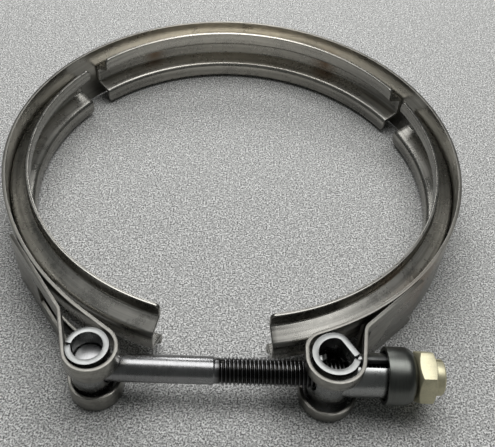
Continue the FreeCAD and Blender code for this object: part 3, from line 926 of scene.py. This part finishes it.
def make_trunnions(finish):
    """The left tube, which carries the bolt's head, and the right one, which it passes."""
    tube = sizes("trunnions")
    bolt = sizes("bolt")
    left = rolled_tube("left", LEFT_PIN)
    reach = 2 * tube.left_radius
    cut(left, rod("shank_hole", LEFT_PIN.x, LEFT_PIN.x + reach, bolt.radius + tube.hole_room))
    soften(left, TRUNNION_EDGE)
    fit(left, "left_trunnion", "bolt", finish)

    right = rolled_tube("right", RIGHT_PIN)
    reach = 2 * tube.right_radius
    hole = bolt.radius + sizes("stack").sleeve_room
    cut(right, rod("bolt_hole", RIGHT_PIN.x - reach, RIGHT_PIN.x + reach, hole))
    soften(right, TRUNNION_EDGE)
    join(right, lanced_tab(tube.right_radius - tube.right_sheet))
    fit(right, "right_trunnion", "saddle", finish)


def lanced_tab(wall):
    """The small tab that bends in from the right trunnion's inner wall near its top."""
    height = node_box("right_trunnion", 2)[1] - TAB_BELOW
    root = RIGHT_PIN + polar(TAB_DIRECTION, wall + TAB_ROOT) + UP * height
    piece = begin("lanced_tab", root - ACROSS * TAB_WIDTH / 2)
    extrude(ACROSS * TAB_WIDTH)
    select_all()
    walk = Walk(root, TAB_RISE, ALONG, UP)
    walk.line(TAB_RUN)
    walk.arc(TAB_BEND, TAB_TURN)
    walk.line(TAB_END)
    in_object_mode()
    thicken(piece, TAB_SHEET)
    soften(piece, TAB_EDGE)
    return piece


def make_bolt(finish):
    """Plain shank and neck, screwed thread and upright cross head."""
    bolt = sizes("bolt")
    neck = LEFT_PIN.x + bolt.shank
    thread = neck + bolt.neck
    end = thread + bolt.thread
    shank = bolt.radius - SHANK_RELIEF
    groove = bolt.radius - bolt.neck_depth
    root = bolt.radius - bolt.thread_depth
    piece = turned("t_bolt_body", [
        (LEFT_PIN.x, 0), (LEFT_PIN.x, shank), (neck, shank),
        (neck + bolt.neck_depth, groove), (thread, groove), (thread + bolt.neck_depth, root),
        (end - bolt.chamfer, root), (end, root - bolt.chamfer), (end, 0),
    ])
    soften(piece, BOLT_EDGE, limit=20)
    join(piece, screwed_thread(bolt, thread, end), cross_head(bolt))
    fit(piece, "t_bolt", "bolt", finish)


def screwed_thread(bolt, start, end):
    """One thread form, screwed along the bolt's line and closed at both ends."""
    root = bolt.radius - bolt.thread_depth - SINK
    rise = bolt.thread_depth + SINK
    flank = FLANK * bolt.pitch
    crest = CREST * bolt.pitch
    ridge_foot = 2 * flank + crest
    turns = int((end - start - THREAD_SPARE) / bolt.pitch)
    ridge = begin("thread", Vector((0, 0, root)))
    extrude(ALONG * flank + UP * rise)
    extrude(ALONG * crest)
    extrude(ALONG * flank - UP * rise)
    extrude(ALONG * (bolt.pitch - ridge_foot))
    in_object_mode()
    apply_modifier(ridge, "SCREW", axis="X", angle=FULL, steps=THREAD_FACETS,
                   render_steps=THREAD_FACETS, screw_offset=bolt.pitch, iterations=turns,
                   use_merge_vertices=True, merge_threshold=0.5 * WELD)
    in_edit_mode()
    weld()
    # The ridge's two ends are closed first, then the two holes that lie inside the rod.
    for low in (0, turns * bolt.pitch):
        high = low + ridge_foot
        select_vertices(ridge, lambda place: abs(place.y) < NEAR and place.z > 0
                        and low - NEAR < place.x < high + NEAR)
        bpy.ops.mesh.edge_face_add()
    select_all()
    bpy.ops.mesh.fill_holes(sides=0)
    bpy.ops.transform.translate(value=BOLT_LINE + ALONG * (start + THREAD_GAP))
    finish_mesh()
    return ridge


def cross_head(bolt):
    """The upright cross head, domed a little at both ends."""
    base = LEFT_PIN + UP * (BOLT_HEIGHT - bolt.head_half)
    head = begin("cross_head", base)
    walk = Walk(base, 0.0, ALONG, UP)
    walk.line(bolt.head_radius - bolt.head_round)
    walk.arc(bolt.head_round, QUARTER, HEAD_STEP)
    walk.line(2 * (bolt.head_half - bolt.head_round))
    walk.arc(bolt.head_round, QUARTER, HEAD_STEP)
    walk.line(bolt.head_radius - bolt.head_round)
    revolve(base, UP, TURNED_FACETS)
    return head


def make_sleeve(finish):
    """Rolled tube with an open seam on top, saddled on the trunnion."""
    stack = sizes("stack")
    outer = sizes("bolt").radius + stack.sleeve_room + stack.sleeve_sheet
    middle = outer - stack.sleeve_sheet / 2
    seam = math.asin(stack.sleeve_seam / 2 / outer)
    end = node_box("bolt_sleeve", 0)[1]
    centre = BOLT_LINE + ALONG * RIGHT_PIN.x
    start = centre - ACROSS * middle * math.sin(seam) + UP * middle * math.cos(seam)
    piece = begin("bolt_sleeve_tube", start)
    walk = Walk(start, math.pi + seam, ACROSS, UP)
    walk.arc(middle, FULL - 2 * seam, LOOP_STEP)
    select_all()
    extrude(ALONG * (end - RIGHT_PIN.x))
    in_object_mode()
    thicken(piece, stack.sleeve_sheet)
    saddle = sizes("trunnions").right_radius + stack.saddle_room
    cut(piece, upright_rod("saddle_cutter", RIGHT_PIN, saddle))
    soften(piece, SLEEVE_EDGE, segments=3)
    fit(piece, "bolt_sleeve", "saddle", finish)


def make_cup(finish):
    """Drawn cup with a rounded shoulder, open towards the sleeve."""
    stack = sizes("stack")
    bolt = sizes("bolt")
    rim, end = node_box("cup_washer", 0)
    side = bolt.radius + stack.sleeve_room + stack.sleeve_sheet + stack.cup_room + stack.cup_sheet / 2
    bore = bolt.radius + stack.cup_bore_room
    start = BOLT_LINE + ALONG * rim + UP * side
    piece = begin("cup_washer_shell", start)
    walk = Walk(start, 0.0, ALONG, UP)
    walk.line(end - rim - stack.cup_sheet / 2 - stack.cup_shoulder)
    walk.arc(stack.cup_shoulder, -QUARTER, SHOULDER_STEP)
    walk.line(side - stack.cup_shoulder - bore)
    revolve(BOLT_LINE, ALONG, FINE_FACETS)
    thicken(piece, stack.cup_sheet)
    soften(piece, CUP_EDGE, segments=3, limit=50)
    fit(piece, "cup_washer", "cup", finish)


def make_nut(finish):
    """Hexagon with turned chamfers, slotted collar and bore."""
    stack = sizes("stack")
    near, far = node_box("lock_nut", 0)
    far -= stack.collar_end
    flat_end = near + stack.nut_hex
    inner = stack.nut_flats / 2 - stack.nut_chamfer
    corner = stack.nut_flats / 2 / math.cos(math.pi / 6)
    rise = (corner - inner) * math.tan(math.pi / 6)
    outer = corner + SINK
    piece = hexagon("lock_nut_body", near, flat_end, corner)
    cut(piece, turned("chamfer_form", [
        (near, 0), (near, inner), (near + rise, outer),
        (flat_end - rise, outer), (flat_end, inner), (flat_end, 0),
    ]), "INTERSECT")
    soften(piece, NUT_EDGE, limit=35)
    root = flat_end - COLLAR_ROOT
    collar = turned("collar", [
        (root, 0), (root, stack.collar_radius), (far - stack.collar_chamfer, stack.collar_radius),
        (far, stack.collar_radius - stack.collar_chamfer), (far, 0),
    ])
    for half_turns in range(2):
        cut(collar, collar_slot(stack, far, half_turns * math.pi))
    bore = sizes("bolt").radius + stack.nut_room
    for part in (piece, collar):
        cut(part, rod("nut_bore", near - MM, far + MM, bore))
    soften(collar, COLLAR_EDGE)
    join(piece, collar)
    fit(piece, "lock_nut", "nut", finish)


def hexagon(name, start, end, corner):
    """A hexagonal prism along the bolt's line, turned as the nut is."""
    middle = BOLT_LINE + ALONG * (start + end) / 2
    bpy.ops.object.select_all(action="DESELECT")
    bpy.ops.mesh.primitive_cylinder_add(vertices=6, radius=corner, depth=end - start,
                                        location=middle, rotation=(0, QUARTER, 0))
    shape = bpy.context.object
    shape.name = name
    bpy.ops.object.transform_apply(location=True, rotation=True, scale=True)
    in_edit_mode()
    select_all()
    bpy.ops.transform.rotate(value=-sizes("stack").nut_turn, orient_axis="X", center_override=middle)
    in_object_mode()
    return shape


def collar_slot(stack, far, turn):
    """The cutter for one of the collar's slots."""
    start = BOLT_LINE + ALONG * (far - stack.slot_depth) + UP * stack.collar_radius / 2
    tool = begin("collar_slot", start - ACROSS * stack.slot_width / 2)
    for step in (ACROSS * stack.slot_width, UP * stack.collar_radius, ALONG * 2 * stack.slot_depth):
        select_all()
        extrude(step)
    select_all()
    bpy.ops.transform.rotate(value=stack.collar_turn - stack.nut_turn + turn, orient_axis="X",
                             center_override=BOLT_LINE)
    finish_mesh()
    return tool


# Operators.

class PieceOperator:
    """What the operators share: they run in object mode and can be undone."""

    bl_options = {"REGISTER", "UNDO"}

    @classmethod
    def poll(cls, context):
        """Only in object mode."""
        return context.mode == "OBJECT"


class CLAMP_OT_strap(PieceOperator, bpy.types.Operator):
    """Model the slotted strap with its two loops"""

    bl_idname = "clamp.strap"
    bl_label = "Strap"

    def execute(self, context):
        """Model the strap and give it its finish."""
        colours = sizes("finish")
        stains_and_painted_light = [
            # Painted highlight: a pale straw patch lightens the rear top in place of its sheen.
            ((0, 61, 14), 36, 22, 1.0, colours.straw_and_painted_sheen),
            ((46, -43, 6), 6, 5, 0.75, colours.heat_tint_and_painted_shadow),
            # Painted shadow: a weld-brown spot darkens the wedge between the left tail and the strap.
            ((-47, -40, 0), 3, 2.5, 0.3, colours.heat_tint_and_painted_shadow),
        ]
        make_strap(brushed("strap satin", colours.strap, 0.3, grain_round_ring, stains_and_painted_light, edge_shade_gain=0.65,
                           bands=0.35))
        return {"FINISHED"}


class CLAMP_OT_retainers(PieceOperator, bpy.types.Operator):
    """Model the three pressed channels inside the strap"""

    bl_idname = "clamp.retainers"
    bl_label = "Retainers"

    def execute(self, context):
        """Model the channels and give them their finish."""
        colours = sizes("finish")
        web = 60
        stains_and_painted_light = [
            # Painted highlight: a pale straw patch lightens the channels' rear top in place of their
            # sheen.
            ((0, web, 16), 30, 20, 0.55, colours.straw_and_painted_sheen),
            (polar(math.radians(117), web), 2.5, 2.2, 0.8, colours.heat_tint_and_painted_shadow),
            (polar(math.radians(61), web), 3.2, 2.6, 0.9, colours.heat_tint_and_painted_shadow),
        ]
        finish = brushed("channel satin", colours.retainer, 0.27, grain_round_ring, stains_and_painted_light, bands=0.6)
        for side in ("left", "rear", "right"):
            make_channel(side, finish)
        return {"FINISHED"}


class CLAMP_OT_trunnions(PieceOperator, bpy.types.Operator):
    """Model the two rolled trunnions"""

    bl_idname = "clamp.trunnions"
    bl_label = "Trunnions"

    def execute(self, context):
        """Model the trunnions and give them their finish."""
        make_trunnions(brushed("trunnion steel", sizes("finish").trunnion, 0.27, grain_up, edge_shade_gain=1.0))
        return {"FINISHED"}


class CLAMP_OT_bolt(PieceOperator, bpy.types.Operator):
    """Model the T-bolt with its screwed thread"""

    bl_idname = "clamp.bolt"
    bl_label = "T-Bolt"

    def execute(self, context):
        """Model the bolt and give it its finish."""
        colours = sizes("finish")
        make_bolt(brushed("bolt steel", colours.bolt, 0.27, grain_round_bolt, groove_shade=colours.groove_shade))
        return {"FINISHED"}


class CLAMP_OT_stack(PieceOperator, bpy.types.Operator):
    """Model the sleeve, the cup washer and the lock nut"""

    bl_idname = "clamp.stack"
    bl_label = "Sleeve, Cup and Nut"

    def execute(self, context):
        """Model what the threaded end carries and give each its finish."""
        colours = sizes("finish")
        make_sleeve(brushed("sleeve steel", colours.sleeve, 0.27, grain_round_bolt))
        make_cup(brushed("dark cup steel", colours.cup, 0.34, grain_round_bolt))
        make_nut(zinc("yellow zinc", colours.nut))
        return {"FINISHED"}


class CLAMP_OT_stage(PieceOperator, bpy.types.Operator):
    """Set the floor, the lamps, the world and the camera"""

    bl_idname = "clamp.stage"
    bl_label = "Stage"

    def execute(self, context):
        """Lay the floor and set the light and the view."""
        make_floor()
        make_light()
        make_camera(context.scene)
        context.scene.view_settings.view_transform = "Standard"
        return {"FINISHED"}


FLOOR_SIZE = 4
# Each lamp: name, place, target, width, height and power in watts.
LAMPS = (
    ("ceiling_lamp", (0.03, 0.105, 0.56), (0, 0, 0), 0.7, 0.37, 2.7),
    ("window_lamp", (0, 0.45, 0.27), (0, 0.06, 0), 0.15, 0.14, 0.4),
    ("fill_lamp", (0, 0.42, 0.26), (0, 0.06, 0), 0.4, 0.2, 0.8),
)
UNREFLECTED_LAMP = "fill_lamp"
ROOM_COLOUR = (0.95, 1.0, 0.98, 1)
ROOM_STRENGTH = 0.09


def make_floor():
    """A wide pale floor under the lowest point of the clamp."""
    bpy.ops.object.select_all(action="DESELECT")
    bpy.ops.mesh.primitive_plane_add(size=FLOOR_SIZE, location=(0, 0, CAD_BOX[0].z))
    floor = bpy.context.object
    floor.name = "floor"
    bpy.ops.object.transform_apply(location=True)
    floor.data.materials.append(speckled_floor("pale floor", sizes("finish").floor))


def add_lamp(name, place, target, width, height, power):
    """A soft rectangular lamp aimed at a place."""
    lamp = bpy.data.lights.new(name, "AREA")
    lamp.shape = "RECTANGLE"
    lamp.size = width
    lamp.size_y = height
    lamp.energy = power
    holder = bpy.data.objects.new(name, lamp)
    bpy.context.scene.collection.objects.link(holder)
    holder.location = place
    holder.rotation_euler = (Vector(target) - Vector(place)).to_track_quat("-Z", "Y").to_euler()
    holder.visible_glossy = name != UNREFLECTED_LAMP


def make_light():
    """A broad soft lamp overhead, a low window behind the clamp, a fill and a dim even room."""
    for lamp in LAMPS:
        add_lamp(*lamp)
    world = bpy.data.worlds.new("room")
    world.use_nodes = True
    background = world.node_tree.nodes["Background"]
    background.inputs["Color"].default_value = ROOM_COLOUR
    background.inputs["Strength"].default_value = ROOM_STRENGTH
    bpy.context.scene.world = world


def make_camera(scene):
    """The camera: above the bolt's side, looking down on the ring."""
    camera = bpy.data.cameras.new("camera")
    camera.sensor_width = 36
    camera.sensor_fit = "HORIZONTAL"
    camera.lens = 52.73
    holder = bpy.data.objects.new("camera", camera)
    scene.collection.objects.link(holder)
    place = Vector((-2.74, -149.23, 143.43)) * MM
    right = Vector((0.99868, 0.00497, 0.05125))
    down = Vector((0.03792, -0.74429, -0.66676))
    ahead = Vector((0.03483, 0.66782, -0.7435))
    turn = Matrix((right, -down, -ahead)).transposed()
    holder.matrix_world = Matrix.Translation(place) @ turn.to_4x4()
    scene.camera = holder


class CLAMP_PT_panel(bpy.types.Panel):
    """Sizes, finishes and operators of the clamp"""

    bl_label = "V Band Clamp"
    bl_idname = "CLAMP_PT_panel"
    bl_space_type = "VIEW_3D"
    bl_region_type = "UI"
    bl_category = "V Band Clamp"

    def draw(self, context):
        """List the operators, then every size and colour."""
        for operator in OPERATORS:
            self.layout.operator(operator.bl_idname)
        for group in SIZE_GROUPS:
            box = self.layout.box()
            box.label(text=group.title())
            values = sizes(group)
            for name in values.__annotations__:
                box.prop(values, name)


OPERATORS = (
    CLAMP_OT_strap,
    CLAMP_OT_retainers,
    CLAMP_OT_trunnions,
    CLAMP_OT_bolt,
    CLAMP_OT_stack,
    CLAMP_OT_stage,
)
CLASSES = (*SIZE_GROUPS.values(), *OPERATORS, CLAMP_PT_panel)


def register():
    """Register the classes and hang each size group on the scene."""
    for item in CLASSES:
        bpy.utils.register_class(item)
    for group, kind in SIZE_GROUPS.items():
        setattr(bpy.types.Scene, f"clamp_{group}", bpy.props.PointerProperty(type=kind))


def unregister():
    """Take the size groups and the classes away again."""
    for group in SIZE_GROUPS:
        delattr(bpy.types.Scene, f"clamp_{group}")
    for item in reversed(CLASSES):
        bpy.utils.unregister_class(item)


def main():
    """Run every operator."""
    register()
    bpy.ops.clamp.strap()
    bpy.ops.clamp.retainers()
    bpy.ops.clamp.trunnions()
    bpy.ops.clamp.bolt()
    bpy.ops.clamp.stack()
    bpy.ops.clamp.stage()


if __name__ == "__main__":
    main()
